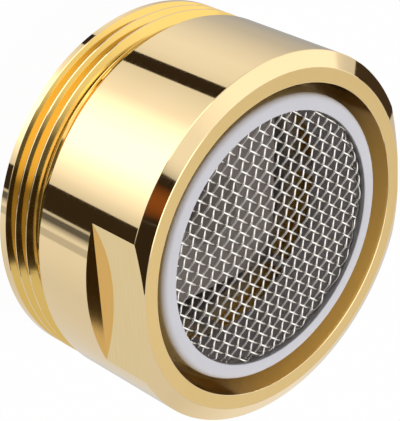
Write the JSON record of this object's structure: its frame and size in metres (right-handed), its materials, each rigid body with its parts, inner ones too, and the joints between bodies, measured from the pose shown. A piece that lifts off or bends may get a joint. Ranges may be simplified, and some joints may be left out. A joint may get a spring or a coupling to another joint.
{
  "type": "tap aerator",
  "caption": "Round brass tap aerator with an outside thread, spanner flats and a plastic insert whose woven outlet screen mixes air into the water.",
  "frame": {"origin": "centre of the sealing washer's free face, the bottom of the part", "axes": "+Z along the flow, from the inlet to the outlet; the spanner flats face +X and -X"},
  "size_m": [0.024, 0.024, 0.0127],
  "materials": {
    "gold_brass": "gold plated, polished barrel and satin lip",
    "white_plastic": "moulded acetal, satin",
    "steel_wire": "bright drawn stainless wire",
    "black_rubber": "matt"
  },
  "bodies": {
    "root": {"sealing_washer": "black_rubber", "inlet_strainer": "white_plastic", "jet_plate": "white_plastic", "insert_sleeve": "white_plastic", "outlet_screen": "steel_wire", "housing": "gold_brass"}
  },
  "joints": []
}
